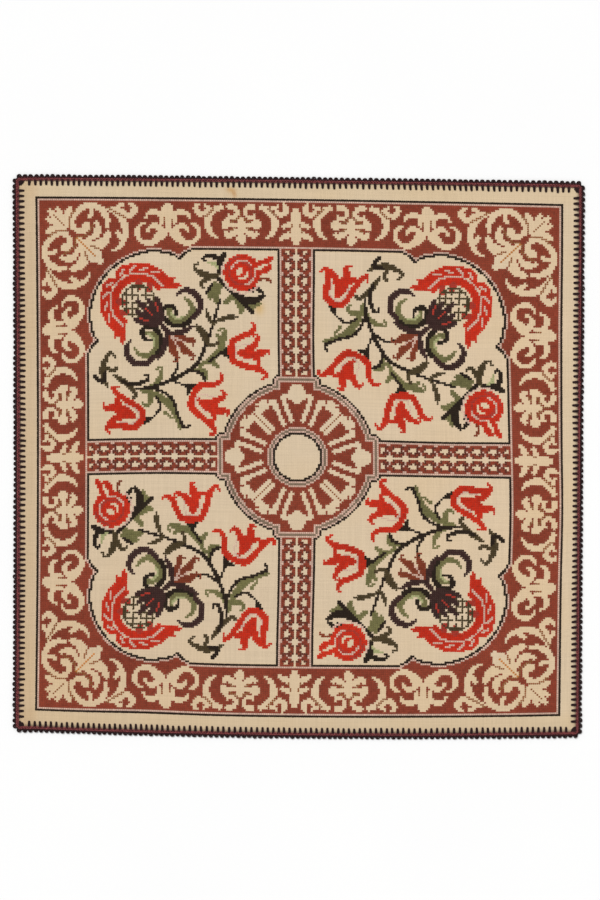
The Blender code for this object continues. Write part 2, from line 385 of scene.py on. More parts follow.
# Outline of a panel's cusp, from its straight side on, read off.
CUSP = ((82, 26), (79.6, 26.4), (77.4, 27.6), (75.4, 28.8), (73.4, 31.4), (71.6, 29.6), (69, 28.4))
PANEL_FAR = MID + 7.0  # past the middle, where bands and medallion cover the outline
PANEL_RINGS = ((1.55, "blush"), (0.55, "ink"), (-0.55, "linen"))  # from its outline, yarn
MEDAL_R = 36.1  # brick field of the medallion
COLLAR = 38.5  # middle to the squared end of a band's collar
COLLAR_HALF = 8.5
MEDAL_RINGS = ((4, "ink"), (3, "blush"), (2, "slate"), (1, "blush"))  # outside the field
EYE_RINGS = ((15.6, "blush"), (14.6, "slate"), (13.8, "blush"), (12.8, "ink"), (11.6, "linen"))
BULB = each(
    stem, "linen",
    (8.4, (0, 99.5), (0, 101)), (2.2, (4, 102), (7, 102), (6, 106), (3, 114)),
)
KNOB = (
    *each(
        stem, "linen",
        (5.2, (114, 107.5), (116.5, 106)), (3, (118, 105.5), (121, 105), (122, 107)),
        (2.2, (122, 107), (126, 116)), (2.2, (112, 110), (115, 109.5)),
    ),
    ("linen", ((112.5, 109.5), (122, 119), (120.5, 120.5), (111, 111))),
    vein("brick", (118, 103), (118, 105)),
    vein("brick", (111, 107), (113, 107)),
    vein("umber", (112, 112), (120, 120)),
)
# Interlaced chain of the bands, charted: one repeat of eight stitches
# along the band, rows from the pale line (8) in to the middle (1).
CHAIN = {
    8: "pppppppp",
    7: "ppbbbbbb",
    6: "bccbbbcb",
    5: "bbclllcb",
    4: "bpcllllc",
    3: "pccclcbb",
    2: "pcbcbbcb",
    1: "llcbbbcl",
}
CHAIN_YARN = {"p": "blush", "b": "brick", "l": "linen", "c": "cocoa"}
CHAIN_REPEAT = 8
CHAIN_START = 30  # where along a band the first repeat starts
BAND_START, BAND_END = 26, 91


def panel_outline():
    """Line round the panel next to the corner, run on past the middle."""
    half = list(CUSP)
    for degrees in np.linspace(*NOTCH_TURN, NOTCH_STEPS):
        turn = math.radians(degrees)
        half.append((NOTCH + NOTCH_R * math.cos(turn), NOTCH - NOTCH_R * math.sin(turn)))
    mirrored = [(b, a) for a, b in reversed(half[:-1])]
    ends = [(BORDER, PANEL_FAR), (PANEL_FAR, PANEL_FAR)]
    return [(PANEL_FAR, BORDER), *half, *mirrored, *ends]


def away_from(loop, u, v):
    """Distance to a closed line, less than 0 inside it."""
    nearest = np.full(u.shape, np.inf)
    for (x0, y0), (x1, y1) in zip(loop, np.roll(loop, -1, axis=0)):
        dx, dy = x1 - x0, y1 - y0
        t = np.clip(((u - x0) * dx + (v - y0) * dy) / (dx * dx + dy * dy), 0, 1)
        nearest = np.minimum(nearest, np.hypot(u - x0 - t * dx, v - y0 - t * dy))
    return np.where(within(np.array(loop, float), u, v), -nearest, nearest)


def folded(draw_half):
    """A quarter chart whose part below the diagonal repeats the part above."""
    art = np.full((MID + 1, MID + 1), CODE["brick"])
    draw_half(art)
    v, u = np.indices(art.shape)
    return np.where(u >= v, art, art.T)


def border_art(art):
    draw(art, CORNER_SCROLLS)
    for motif, centre in ((LILY, LILY_AT), (SHELL, SHELL_AT), (FINIAL, MID)):
        draw_mirrored(art, motif, centre)


def medallion_art(art):
    draw_mirrored(art, BULB, MID)
    draw(art, KNOB)


def add_bands(chart, u, v):
    """The two crossing bands: chain, lines at each side and plain ends."""
    for side, along in ((MID - u, v), (MID - v, u)):
        band = (side <= BAND) & (along >= BAND_START) & (along <= BAND_END)
        chart[band & (side == BAND)] = CODE["ink"]
        chart[band & (side == 0)] = CODE["linen"]
        column = (along - CHAIN_START) % CHAIN_REPEAT
        for row, cells in CHAIN.items():
            for k, letter in enumerate(cells):
                chart[band & (side == row) & (column == k)] = CODE[CHAIN_YARN[letter]]
        ends = (along == BAND_START) | (along == BAND_END)
        chart[ends & (side >= 1) & (side <= BAND - 2)] = CODE["brick"]
        chart[(side <= BAND - 1) & (along == BAND_START - 1)] = CODE["blush"]


def add_medallion(chart, u, v):
    """The round field with its squared collars, its rings and its eye."""
    a, b = MID - u, MID - v
    radius = np.hypot(a, b)
    rim = radius - MEDAL_R
    for wide, long in ((a, b), (b, a)):
        over_w, over_l = wide - COLLAR_HALF, long - COLLAR
        outside = np.hypot(np.maximum(over_w, 0), np.maximum(over_l, 0))
        rim = np.minimum(rim, outside + np.minimum(np.maximum(over_w, over_l), 0))
    in_band = (np.minimum(a, b) <= BAND - 1) & (rim > MEDAL_RINGS[1][0])
    for width, yarn in MEDAL_RINGS:
        chart[(rim <= width) & ~in_band] = CODE[yarn]
    chart[rim <= 0] = folded(medallion_art)[rim <= 0]
    for size, yarn in EYE_RINGS:
        chart[radius <= size] = CODE[yarn]


def quarter_chart():
    """The upper left quarter of all that repeats four ways, to the middle."""
    chart = folded(border_art)
    v, u = np.indices(chart.shape)
    edge = np.minimum(u, v)
    chart[edge == 0] = CODE["ink"]
    chart[edge == 1] = CODE["blush"]
    away = away_from(panel_outline(), u, v)
    for beyond, yarn in PANEL_RINGS:
        chart[away <= beyond] = CODE[yarn]
    add_bands(chart, u, v)
    add_medallion(chart, u, v)
    return chart


# --- panel sprays ---

# The spray of the upper left panel; the other three are it turned a quarter
# each.  Its flowers and leaves are simple shapes, at places that were judged.
# Places are across and down in stitches; headings are degrees, 0 to the right
# and 90 down.

TULIP_FOOT = (0.5, 0, 3.4)  # ahead of the cap, aside and width
# Shares of a petal's tip, ahead and aside, and width.
TULIP_PETAL = (
    (0.12, 0.34, 3.5), (0.5, 0.52, 3.3), (0.95, 0.66, 3.0), (1.16, 0.86, 2.3), (1, 1, 1.2),
)
TULIP_HEART = 4  # ahead of the cap, where its flames start
TULIP_FLAMES = (  # tips as shares of its length, bow, width, hook
    (0.92, -0.04, 2.0, 4.8, 1.5),
    (0.74, 0.28, -2.2, 3.6, 1.5),
    (0.72, -0.38, 2.4, 3.8, -1.5),
)
TULIP_LINE = 2.6  # ahead of the cap, where its pale lines start
TULIP_LINES = (-0.15, 0.15)  # their spread, as a share of its length
TULIP_LINE_STEPS = ((0.2, 1), (0.5, 1.4))  # share ahead, and of their spread


def tulip(cap, heading, length, left, right):
    """A flared tulip; left and right are its petal tips, ahead and aside."""
    marks = []
    for ahead, aside in (left, right):
        path = [TULIP_FOOT] + [(a * ahead, b * aside, width) for a, b, width in TULIP_PETAL]
        marks.append(("scarlet", [(*seen_from(cap, heading, a, b), width) for a, b, width in path]))
    heart = seen_from(cap, heading, TULIP_HEART)
    for ahead, aside, bow, width, hook in TULIP_FLAMES:
        tip = seen_from(cap, heading, length * ahead, length * aside)
        marks.append(leaf("scarlet", heart, tip, bow, width, hook))
    for aside in TULIP_LINES:
        steps = [(a * length, b * aside * length) for a, b in TULIP_LINE_STEPS]
        places = [seen_from(cap, heading, *step) for step in [(TULIP_LINE, 0), *steps]]
        marks.append(vein("blush", *places))
    return marks


def flipped(marks, shift):
    """Marks mirrored in the panel's diagonal and moved along it."""
    turned = []
    for yarn, rows in marks:
        turned.append((yarn, [(row[1] - shift, row[0] + shift, *row[2:]) for row in rows]))
    return turned


SCROLL = (
    ring("moss", (73.5, 57.5), 6.4, -70, 205, (1.4, 3.2, 3.8, 3.6, 1.6), 0.15),
    ring("lichen", (72.5, 57.5), 4.2, 60, 160, (1, 1.4, 1)),
    ring("ink", (68, 59), 3.6, 20, -180, (1.2, 2.2, 2.6)),
    ring("ink", (72.5, 57.5), 8.2, 180, 45, (2.4, 2.4, 2.8)),
    ring("damson", (76, 54), 8.6, 62, -135, (2.8, 3.4, 3.4, 1.4), 0.3),
)
SCROLL_SHIFT = 1.5
BLOOM_AT = (52.5, 53.5)
BLOOM_FACES = 225
BLOOM_BAND = (12.5, (2, 4.4, 4.8, 4.4, 2))  # radius, widths
BLOOM_CREASE = (14.8, LINE)  # the pale line between band and petals
ARMS = 100  # degrees that the bloom reaches to each side
PETALS = 5  # to each side
STEP = 20  # degrees from one petal to the next
# Its leaves on one side: degrees and radius of root and tip, bow, width.
BLOOM_LEAVES = {
    "scarlet": (
        *[(STEP * k, 15.5, STEP * (k + 1.3), 19, -1, 4.6) for k in range(PETALS)],
        (86, 15.5, 106, 17, 1, 4.2), (86, 15.5, 112, 22.5, 1, 3.6), (86, 15.5, 100, 22, 1, 3),
    ),
    "crimson": ((44, 11.5, 50, 7.5, 0, 4), (78, 11.5, 84, 7.5, 0, 4)),
}
# And the pale lines between its petals: degrees and radius of both ends.
BLOOM_LINES = [(STEP * (k + 0.4), 16.5, STEP * (k + 1), 18.5) for k in range(PETALS - 1)]


def bloom():
    """The great flower: a band, slanted petals on it and a curl at each end."""

    def line(side, turn_a, radius_a, turn_b, radius_b):
        ends = ((turn_a, radius_a), (turn_b, radius_b))
        return [seen_from(BLOOM_AT, BLOOM_FACES + side * turn, radius) for turn, radius in ends]

    def arc(yarn, radius, widths):
        return ring(yarn, BLOOM_AT, radius, BLOOM_FACES - ARMS, BLOOM_FACES + ARMS, widths)

    marks = [arc("scarlet", *BLOOM_BAND)]
    for side in (-1, 1):
        for yarn, rows in BLOOM_LEAVES.items():
            for *ends, bow, width in rows:
                marks.append(leaf(yarn, *line(side, *ends), side * bow, width))
        marks += [vein("blush", *line(side, *ends)) for ends in BLOOM_LINES]
    return [*marks, arc("blush", *BLOOM_CREASE)]


NET = 3.5  # spacing of the seed head's netting
NET_R = 8.6
NET_LINES = (-2, -1, 0, 1, 2)
NET_RIM = (130, 320)  # degrees of its rim that show


def seed_head():
    """Netting over a round head."""
    middle_u, middle_v = BLOOM_AT
    marks = []
    for k in NET_LINES:
        half = math.sqrt(NET_R ** 2 - (k * NET) ** 2)
        u, v = middle_u + k * NET, middle_v + k * NET
        marks.append(vein("forest", (u, middle_v - half), (u, middle_v + half)))
        marks.append(vein("forest", (middle_u - half, v), (middle_u + half, v)))
    return [*marks, ring("forest", BLOOM_AT, NET_R, *NET_RIM, LINE)]


def sprig(yarn, at, heading, length, bow, width, hook=0):
    """A leaf that starts at a place and faces a heading."""
    return leaf(yarn, at, seen_from(at, heading, length), bow, width, hook)


JOINT = (64, 65)  # where the bloom and its scrolls meet
JOINT_END = (69, 71)  # and the leaves behind it
BRACTS_AT = (68, 70)
SEPALS_AT = (66, 69)
# The dark cup that holds the seed head, with its lines and its foot.
CALYX = (
    *[sprig("damson", JOINT, BLOOM_FACES + turn, length, 0, 4)
      for turn, length in ((-36, 14), (36, 14), (-18, 14), (18, 14), (0, 17))],
    *[vein("crimson", *[seen_from(JOINT, BLOOM_FACES + turn, far) for far in (7, 11)])
      for turn in (-30, 0, 30)],
    stem("damson", 2.8, JOINT, JOINT_END),
)
# Leaves that fan out behind the bloom, between its two scrolls.
BRACTS = (
    *each(
        sprig, "rust",
        (BRACTS_AT, 14, 12, 1, 4.2, 1.5), (BRACTS_AT, 42, 16, 1, 4.4, 1.5),
        (BRACTS_AT, 72, 13, 1, 4.2, 1.5),
    ),
    *each(sprig, "damson", (SEPALS_AT, -12, 14, 1.5, 3), (SEPALS_AT, 106, 14, -1.5, 3)),
    *[vein("blush", JOINT_END, seen_from(BRACTS_AT, heading, 9)) for heading in (28, 58)],
)
VINE = (
    *each(
        leaf, "moss",
        ((54, 98), (64, 88), 3, 3, -1.5), ((55, 98), (56, 107), -3, 3, 1.5),
        ((53, 99), (73, 118), -5, 3.8), ((69, 113), (65, 110), 0, 2),
        ((83, 86), (96, 68), 4, 3.6, -1.5), ((95, 74), (92, 70), 0, 2.4),
        ((84, 86), (93, 87), -2, 2.6), ((81, 88), (87, 93), -2, 2.8),
    ),
    *each(
        stem, "ink",
        (1.5, (51, 98), (60, 98), (69, 103), (72, 112), (75, 118), (78, 117)),
        (2, (60, 97), (72, 92), (82, 85), (87, 74)),
        (1.4, (69, 92), (72, 86), (70, 80)), (1.5, (88, 72), (91, 62), (94, 52)),
        (1.5, (77, 89), (84, 90), (86, 95)),
    ),
    *each(
        leaf, "forest",
        ((91, 65), (87, 57), -1, 2.2), ((91, 64), (103, 61), -1, 2.6),
        ((87, 75), (82, 66), 1, 4), ((87, 75), (93, 74), 1, 2.2),
    ),
    *each(
        stem, "ink",
        (1.3, (88, 84), (95, 79)), (1.4, (70, 94), (77, 97)),
        (1.4, (61, 102), (63, 108), (58, 114)),
    ),
    # cups of the three tulips
    ("ink", ((93, 80), (99, 75), (98, 79), (99, 83))),
    ("ink", ((76, 96), (82, 96), (79, 99), (77, 102))),
    ("ink", ((53, 111), (59, 114), (54, 117), (55, 114))),
)
SIDE_LEAVES = (
    *each(leaf, "forest", ((36, 97), (37, 80), -3, 3.4, 2), ((36, 87), (41, 87), 1.5, 2)),
    leaf("ink", (29, 91), (35, 89), 4, 2.6),
    leaf("forest", (39, 91), (51, 101), -1, 3.2, 1.5),
    leaf("ink", (43, 94), (57, 93), 2, 2.4, -1.5),
)
ROSE_LEAVES = (
    leaf("ink", (95, 40), (97, 28), -2, 3.4),
    leaf("ink", (94, 33), (86, 30), 2, 2.4, -1.5),
    leaf("lichen", (88, 33), (93, 36), -1, 2.2),
    leaf("forest", (94, 39), (81, 36), -2, 3.6, 2),
    leaf("forest", (93, 41), (84, 44), 1.5, 2.8, -1.5),
    *each(
        leaf, "moss",
        ((95, 43), (92, 53), 1, 4), ((92, 43), (89, 52), 1, 3.4),
        ((100, 49), (96, 54), -1, 3), ((100, 49), (105, 59), -1, 3.6),
        ((105, 54), (111, 59), -1, 2.4), ((107, 54), (115, 54), 1, 2.2),
    ),
    stem("ink", 1.6, (90, 44), (87, 49)),
    stem("ink", 1.8, (93, 41), (101, 49), (111, 59)),
    leaf("ink", (103, 49), (116, 50), 3, 4, -1.5),
    leaf("ink", (106, 49), (115, 47), -1, 2.4),
)
ROSE_AT = (105.5, 38)
# A round rose: rings of petals about an eye, three loose tips and their shading.
ROSE = (
    *[ring("scarlet", ROSE_AT, radius, 0, 360, (4, 4)) for radius in (7.6, 4.5, 1.5)],
    leaf("scarlet", (112, 33), (121, 30), 1, 3),
    leaf("scarlet", (113, 38), (120, 34), 1, 3.2),
    leaf("rust", (114, 42), (120, 43), -1.5, 1.6),
    *each(
        ring, "blush",
        (ROSE_AT, 10.6, 40, 210, LINE), (ROSE_AT, 6, 200, 320, LINE),
        (ROSE_AT, 6.5, -20, 80, LINE),
    ),
    *each(
        ring, "crimson",
        (ROSE_AT, 5, 280, 410, LINE), (ROSE_AT, 6.5, 90, 190, LINE),
        (ROSE_AT, 8.2, 190, 260, LINE),
    ),
    ring("linen", ROSE_AT, 3, 0, 110, (THIN, 1.4, 1.4, THIN)),
    leaf("linen", (103, 39), (105, 36), 0, 2.4),
    stem("linen", 1.2, (113, 36), (117, 34)),
)
SPRAY = (
    VINE, SIDE_LEAVES, SCROLL, flipped(SCROLL, SCROLL_SHIFT), bloom(), seed_head(), CALYX,
    BRACTS, ROSE_LEAVES, ROSE,
    tulip((99, 79), 0, 20, (11, -15), (16, 14)),
    tulip((79, 102), 25, 21, (9, -17), (16, 14)),
    tulip((54, 114), 200, 22, (14, -12), (17, 12)),
)


def whole_chart():
    """Yarn code of every stitch square, and which squares are spray."""
    fold = MID - np.abs(np.arange(SIDE) - MID)
    chart = quarter_chart()[np.ix_(fold, fold)]
    spray = np.zeros((SIDE, SIDE), int)
    for marks in SPRAY:
        draw(spray, marks)
    sprays = [np.rot90(spray, -turn) for turn in range(4)]
    for turned in sprays:
        chart = np.where(turned > 0, turned, chart)
    return chart, [turned > 0 for turned in sprays]


# --- colours ---


def linear(red, green, blue):
    """A shader colour from the three levels, 0 to 255, that an eye would match."""
    levels = np.array([red, green, blue], float) / 255
    return np.where(levels <= 0.04045, levels / 12.92, ((levels + 0.055) / 1.055) ** 2.4)


DYES = {name: linear(*levels) for name, levels in YARN_LEVELS.items()}
PALETTE = np.array(list(DYES.values()))

# --- mesh helpers ---

BAKE_EDGE = 0.01  # empty rim of the plan map that bakes use


def add_map(mesh, name, places, corners):
    layer = mesh.uv_layers.new(name=name)
    layer.data.foreach_set("uv", places[corners].astype(np.float32).ravel())


def in_scene(name, data):
    obj = bpy.data.objects.new(name, data)
    bpy.context.scene.collection.objects.link(obj)
    return obj


def mesh_object(name, points, faces, tint, material, layout=None):
    """A mesh object from metres, faces of one size or a list of such arrays.

    tint is a colour for each point, and layout the stitch coordinates of each
    point, for weaves that follow the pulled cloth.
    """
    if not isinstance(faces, list):
        faces = [faces]
    corners = np.concatenate([f.ravel() for f in faces]).astype(np.int32)
    sizes = np.concatenate([np.full(len(f), f.shape[1]) for f in faces])
    starts = np.concatenate([[0], np.cumsum(sizes)[:-1]]).astype(np.int32)
    mesh = bpy.data.meshes.new(name)
    mesh.vertices.add(len(points))
    mesh.vertices.foreach_set("co", points.astype(np.float32).ravel())
    mesh.loops.add(len(corners))
    mesh.loops.foreach_set("vertex_index", corners)
    mesh.polygons.add(len(starts))
    mesh.polygons.foreach_set("loop_start", starts)
    mesh.update(calc_edges=True)
    mesh.validate()
    mesh.shade_smooth()
    shade = mesh.attributes.new("Tint", "FLOAT_COLOR", "POINT")
    rgba = np.concatenate([tint, np.ones((len(tint), 1))], axis=1)
    shade.data.foreach_set("color", rgba.astype(np.float32).ravel())
    low = points.min(0)
    span = max((points.max(0) - low)[:2])
    flat = BAKE_EDGE + (points[:, :2] - low[:2]) / span * (1 - 2 * BAKE_EDGE)
    add_map(mesh, "OFBake", flat, corners)
    if layout is not None:
        add_map(mesh, "Layout", layout, corners)
    mesh.materials.append(material)
    return in_scene(name, mesh)


def grid_faces(rows, columns):
    """Quads of a grid of points, numbered along each row."""
    first = (np.arange(rows - 1)[:, None] * columns + np.arange(columns - 1)).ravel()
    return np.stack([first, first + columns, first + columns + 1, first + 1], 1)


# --- the linen ---

MARGIN_STEPS = 4  # columns of the cloth's grid in each bare margin
TINT_SHARE = 0.92  # how much of a stitch's colour the linen under it shows
PAINTED_SHADE_UNDER_WOOL = 0.72  # and how much darker it is painted under the strands, as painted shade
RELIEF = 0.22  # mm, height of the slow unevenness of the cloth
RELIEF_WAVES = (9, 420, 90)  # how many, and their longest and shortest, mm
RELIEF_FADE = 20  # mm from the cloth's edge, where the unevenness starts
HEM_ROLL = 0.35  # mm, how far the cloth's edge turns down
HEM_WIDTH = 3  # mm, over which it does


def grid_lines(half_cloth, pitch):
    """Layout lines of the cloth's grid, in stitches from the middle."""
    worked = np.arange(SIDE + 1) - SIDE / 2
    outer = np.linspace(SIDE / 2, half_cloth / pitch, MARGIN_STEPS + 1)[1:]
    return np.concatenate([-outer[::-1], worked, outer])


def slow_waves(x, y, rng, count, longest, shortest):
    """A smooth uneven field of about unit size, from plane waves."""
    total = np.zeros(np.shape(x))
    for _ in range(count):
        turn = rng.uniform(0, 2 * math.pi)
        length = rng.uniform(shortest, longest)
        phase = rng.uniform(0, 2 * math.pi)
        along = x * math.cos(turn) + y * math.sin(turn)
        total += np.sin(along * 2 * math.pi / length + phase)
    return total / math.sqrt(count / 2)


def surface(x, y):
    """Height of the linen's top, in mm, at layout places in mm."""
    rise = slow_waves(x, y, np.random.default_rng(SEED), *RELIEF_WAVES)
    edge = np.minimum(CLOTH_X - np.abs(x), CLOTH_Y - np.abs(y))
    fade = np.clip(edge / RELIEF_FADE, 0, 1)
    roll = HEM_ROLL * np.clip(1 - edge / HEM_WIDTH, 0, 1) ** 2
    return LINEN_T - RELIEF + RELIEF * rise * fade - roll


# What is left of the linen's red, green and blue under the border, in each
# margin (left, right, top, bottom) and in stains, which have across, up, wide
# and tall in mm first.
MARGIN_FADE = 12.0  # mm, over which it comes on
HALF_WAY = 0.5  # of it, at the border's outer line
BORDER_AGE = (1.02, 0.985, 0.93)
MARGIN_AGE = ((0.92, 0.87, 0.81), (1.0, 1.0, 0.99), (1.0, 0.99, 0.95), (0.97, 0.95, 0.90))
STAINS = (
    (-330, -330, 260, 220, (0.97, 0.95, 0.93)),
    (330, 60, 200, 330, (1.05, 1.03, 1.01)),
    (-60, 236, 8, 10, (0.93, 0.80, 0.52)),
    (-104, 424, 7, 4, (0.86, 0.66, 0.42)),
    (-98, 418, 3, 6, (0.80, 0.58, 0.38)),
)


def make_linen(chart, material):
    us = grid_lines(CLOTH_X, STITCH_X)
    vs = grid_lines(CLOTH_Y, STITCH_Y)
    n = len(us)
    u, v = np.meshgrid(us, vs)
    x = u * STITCH_X
    y = -v * STITCH_Y
    top = placed(x, y, surface(x, y)).reshape(-1, 3)
    # Underside: the same rim of points, at the surface the cloth lies on.
    number = np.arange(n * n).reshape(n, n)
    rim = np.concatenate([number[0, :-1], number[:-1, -1], number[-1, :0:-1], number[:0:-1, 0]])
    under = top[rim].copy()
    under[:, 2] = 0
    base = len(top)
    low = np.arange(len(rim)) + base
    wall = np.stack([rim, np.roll(rim, -1), np.roll(low, -1), low], 1)
    # The underside is closed by one strip for each row of the grid.
    right = low[n - 1:2 * n - 1]
    left = np.concatenate([[low[0]], low[:3 * n - 4:-1]])
    strips = np.stack([left[1:-2], right[1:-2], right[2:-1], left[2:-1]], 1)
    first = np.concatenate([low[:n], [right[1]], [left[1]]])[None, :]
    last = np.concatenate([low[2 * n - 2:3 * n - 2], [left[-2]], [right[-2]]])[None, :]
    faces = [grid_faces(n, n), wall, strips, first, last]
    points = np.concatenate([top, under])
    tint = np.tile(DYES["linen"], (len(points), 1))
    # Under the wool the linen's top shows the wool's colour, darkened as painted shade.
    tint[:base] = ground_colour_and_shade(chart, n, aged(x, y)).reshape(-1, 3)
    layout = np.stack([u.ravel(), v.ravel()], 1)
    layout = np.concatenate([layout, layout[rim]])
    return mesh_object("cloth_linen", points, faces, tint, material, layout)


def aged(x, y):
    """What the years have left of the linen's colour at each place, in mm."""
    keep = np.ones((*x.shape, 3))
    past = np.stack([-x - HALF_X, x - HALF_X, y - HALF_Y, -y - HALF_Y])
    inside = past.max(axis=0)
    keep[(inside < 0) & (inside > -BORDER * STITCH_X)] = BORDER_AGE
    for beyond, left in zip(past, MARGIN_AGE):
        share = np.clip(beyond / MARGIN_FADE + HALF_WAY, 0, 1)[..., None]
        keep *= 1 - share * (1 - np.array(left))
    for stain_x, stain_y, wide, tall, left in STAINS:
        near = np.exp(-((x - stain_x) / wide) ** 2 - ((y - stain_y) / tall) ** 2)
        keep *= 1 - near[..., None] * (1 - np.array(left))
    return keep


def ground_colour_and_shade(chart, n, age):
    """Colour of the linen at each grid point: under the wool it takes the wool's colour, darkened
    as painted shade.
    """
    worked = chart > 0
    # painted shade: the wool's colour, darkened where the linen lies under the strands
    colour = PALETTE[chart] * PAINTED_SHADE_UNDER_WOOL
    sums = np.zeros((n, n, 3))
    hits = np.zeros((n, n))
    for down in (0, 1):
        for right in (0, 1):
            rows = slice(MARGIN_STEPS + down, MARGIN_STEPS + down + SIDE)
            cols = slice(MARGIN_STEPS + right, MARGIN_STEPS + right + SIDE)
            sums[rows, cols] += colour * worked[..., None]
            hits[rows, cols] += worked
    full = hits == 4
    share = np.where(full, TINT_SHARE, 0.0)[..., None]
    return DYES["linen"] * age * (1 - share) + sums / np.maximum(hits, 1)[..., None] * share


# --- the cross stitches ---

STRAND = 0.72  # stitches, width of a strand at its middle
REACH_U = 0.49  # stitches, middle of a stitch to its ends, across
REACH_V = 0.50  # and down
SHOULDER = 0.56  # of the half length, where a strand is full height
CROSSING = (  # lean of each strand, mm that its crest stands above the linen
    (1, 0.45),
    (-1, 0.75),
)
PLUMPER = {"ink": 1.1, "blush": 0.75, "umber": 0.85}
PLUMP = np.array([PLUMPER.get(name, 1.0) for name in YARN_LEVELS])
ROOT = -0.25  # mm, how far a strand's ends go into the linen
SHOULDER_FLANK = 0.05  # mm above the linen, flanks of a strand
WIDTH_SPREAD = 0.06  # how much one strand's width differs from the next
HEIGHT_SPREAD = 0.10
PLACE_SPREAD = 0.02  # stitches
YARN_SPREAD = 0.07  # how much one stitch's colour differs from the next
FADE_SPREAD = 0.05  # how much it drifts over the cloth
FADE_WAVES = (8, 90, 14)  # how many, and their longest and shortest, stitches

STRAND_FACES = np.array([
    (0, 1, 2), (0, 2, 3),
    (1, 4, 5), (1, 5, 2), (2, 5, 6), (2, 6, 3),
    (4, 7, 5), (5, 7, 6),
])
STRAND_POINTS = 8


def strand_points(u, v, lean, crest, plump, rng):
    """Stitch coordinates and heights of one strand in each of many squares."""
    count = len(u)
    size = math.hypot(REACH_U, REACH_V)
    along = np.array([REACH_U, lean * REACH_V])
    side = np.array([-lean * REACH_V, REACH_U]) / size * STRAND / 2
    rows = []
    for t, s, z in (
        (-1, 0, ROOT),
        (-SHOULDER, -1, SHOULDER_FLANK), (-SHOULDER, 0, crest), (-SHOULDER, 1, SHOULDER_FLANK),
        (SHOULDER, -1, SHOULDER_FLANK), (SHOULDER, 0, crest), (SHOULDER, 1, SHOULDER_FLANK),
        (1, 0, ROOT),
    ):
        rows.append((*(along * t + side * s), z, abs(t) < 1))
    template = np.array(rows)
    width = (1 + rng.normal(0, WIDTH_SPREAD, count))[:, None] * plump[:, None]
    height = 1 + rng.normal(0, HEIGHT_SPREAD, (count, 1))
    shift_u = rng.normal(0, PLACE_SPREAD, (count, 1)) * template[:, 3]
    shift_v = rng.normal(0, PLACE_SPREAD, (count, 1)) * template[:, 3]
    pu = u[:, None] + template[:, 0] * width + shift_u
    pv = v[:, None] + template[:, 1] * width + shift_v
    pz = template[:, 2] * height
    return pu, pv, pz


def make_stitches(name, chart, where, material, heights):
    """Cross stitches in the squares of the chart that where picks."""
    rng = np.random.default_rng([SEED, sum(map(ord, name))])
    rows, cols = np.nonzero(where & (chart > 0))
    u = cols - float(MID)
    v = rows - float(MID)
    count = len(u)
    plump = PLUMP[chart[rows, cols]]
    parts = [strand_points(u, v, lean, crest, plump, rng) for lean, crest in CROSSING]
    pu, pv, pz = (np.concatenate([part[k] for part in parts], axis=1) for k in range(3))
    ground = heights[rows, cols]
    points = placed(pu * STITCH_X, -pv * STITCH_Y, ground[:, None] + pz).reshape(-1, 3)
    both = np.concatenate([STRAND_FACES, STRAND_FACES + STRAND_POINTS])
    each_stitch = 2 * STRAND_POINTS
    faces = (both[None] + each_stitch * np.arange(count)[:, None, None]).reshape(-1, 3)
    shade = 1 + rng.normal(0, YARN_SPREAD, count)
    shade += FADE_SPREAD * slow_waves(u, v, np.random.default_rng(SEED + 1), *FADE_WAVES)
    tint = PALETTE[chart[rows, cols]] * shade[:, None]
    tint = np.repeat(np.clip(tint, 0, 1), each_stitch, axis=0)
    layout = np.stack([pu.ravel(), pv.ravel()], 1)
    return mesh_object(name, points, faces, tint, material, layout)


# --- the edging ---

# For each side: the direction of its run, and the outward direction.
SIDES = {
    "top": ((1, 0), (0, 1)),
    "right": ((0, -1), (1, 0)),
    "bottom": ((-1, 0), (0, -1)),
    "left": ((0, 1), (-1, 0)),
}
YARN_R = 1.1  # mm, radius of the edging's yarn
CORE_SIDES = 8  # faces round the ridge's core
YARN_SIDES = 5  # faces round a strand of the edging
LOOP_SIDES = 4  # faces round a small loop of the ridge
CORE_STEPS = 4  # stations of the core to each picot
CORE_Z = 1.35  # mm, height of its middle, and of the picots'
CORE_SPARE = 0.1  # mm, how far the core passes the ridge's width
LOOPS = 4  # small loops of the ridge to each picot, in each row
LOOP_REACH = 0.62  # of the loops' pitch, how far a loop runs to each side
LOOP_DIP = 0.5  # mm, from its crest to its ends
LOOP_TAPER = np.array([0.55, 1, 0.55])
LOOP_ENDS = np.array([-1, 0, 1])
LOOP_ROWS = (  # depth from the tips, lean to each side, wide, crest, yarn
    (9.20, 1.1, 1.05, 2.70, "maroon"),
    (7.00, -1.1, 1.05, 2.85, "maroon"),
    (5.00, 0.6, 0.95, 2.40, "wine"),
)
TOOTH_ROOT = 9.8  # mm, tips of the picots to the root of a long stitch
TOOTH_TIP = 18.5  # mm, and to its far end
PICOT_ROOT = 4.7  # mm, and to the foot of a picot's loop
FIRST_TOOTH = 11.5  # mm, inner corner of the ridge to the first tooth
TOOTH = np.array([  # aside, sway, share of its reach, above the linen, wide, tall
    (1.10, 0.0, 0.00, 0.97, 1.35, 1.00),
    (0.95, 0.6, 0.40, 0.77, 1.25, 0.95),
    (0.75, 1.0, 0.84, 0.67, 1.10, 0.80),
    (0.45, 1.0, 1.00, 0.20, 0.60, 0.35),
]).T
TOOTH_START = np.array([1.4, 0, 0, 0])  # mm outward, under the ridge
FAN = (4, 16, 28, 40, 52, 64, 76, 88)  # degrees, stitches that fill a corner
FAN_STITCH = np.array([  # share of its reach, height, wide, tall
    (-0.10, 2.4, 0.9, 0.8),
    (0.45, 2.5, 1.2, 0.8),
    (0.80, 2.3, 1.2, 0.7),
    (1.00, 1.8, 0.6, 0.3),
]).T
FAN_LIFT = 0.08  # mm, of every other stitch
PICOT_TURN = (-0.12, 1.12, 7)  # half turns its loop starts and ends at, stations
PICOT_WIDE = 0.34  # of the pitch, half a picot's width
